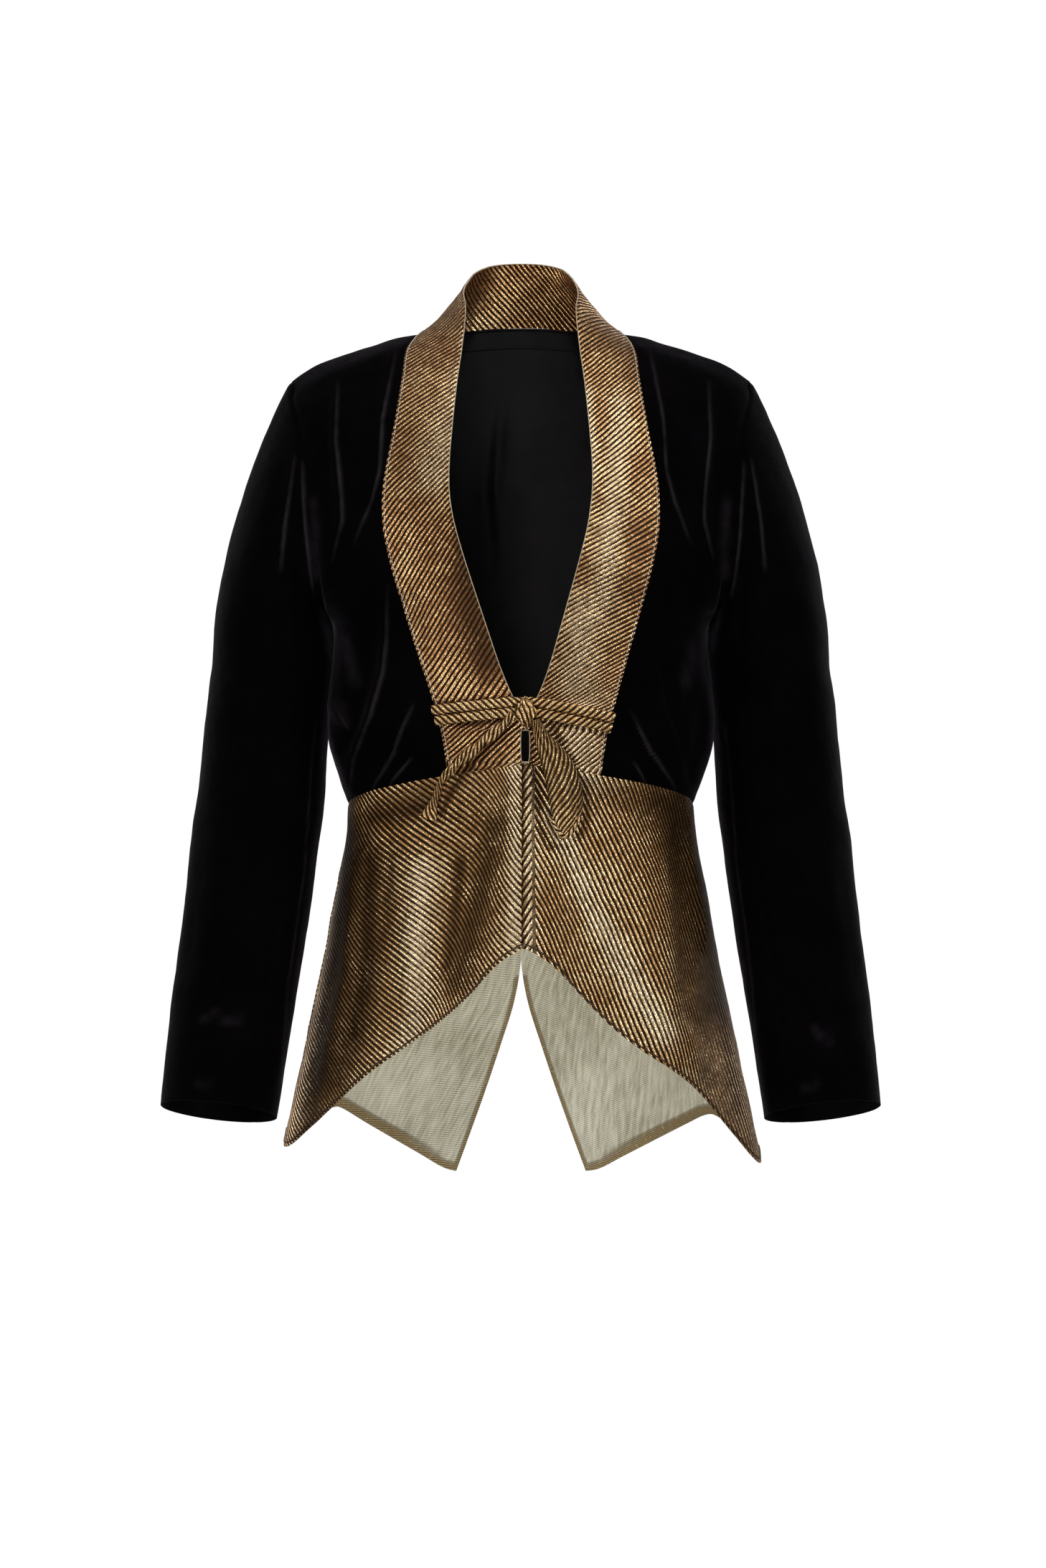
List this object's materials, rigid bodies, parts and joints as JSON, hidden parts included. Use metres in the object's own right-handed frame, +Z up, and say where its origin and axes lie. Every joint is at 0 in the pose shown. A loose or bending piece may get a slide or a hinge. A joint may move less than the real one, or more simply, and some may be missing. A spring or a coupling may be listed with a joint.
{
  "type": "velvet evening jacket",
  "caption": "Hip-length women's jacket in black velvet with long sleeves, a standing gold lame collar band tied above the waist, and a flared gold peplum with a back vent.",
  "frame": {"origin": "middle of the base of the wearer's neck, on the shoulder line", "axes": "+Z up the body, -Y the way the wearer faces, so the wearer's left is at +X"},
  "size_m": [0.5898, 0.2673, 0.776],
  "materials": {
    "velvet": "cut pile velvet",
    "satin": "satin",
    "lame": "ribbed metallic lame"
  },
  "bodies": {
    "root": {"front_right": "velvet", "front_left": "velvet", "back": "velvet", "top_sleeve_right": "velvet", "top_sleeve_left": "velvet", "under_sleeve_right": "velvet", "under_sleeve_left": "velvet", "back_lining": "satin", "neck_tape": "satin", "collar_band": "lame", "peplum_front_right": "lame", "peplum_front_left": "lame", "peplum_back_right": "lame", "peplum_back_left": "lame", "tie_strap_right_upper": "lame", "tie_strap_right_lower": "lame", "tie_strap_left_upper": "lame", "tie_strap_left_lower": "lame", "tie_end_right": "lame", "tie_loop_left": "lame", "tie_knot": "lame"}
  },
  "joints": []
}
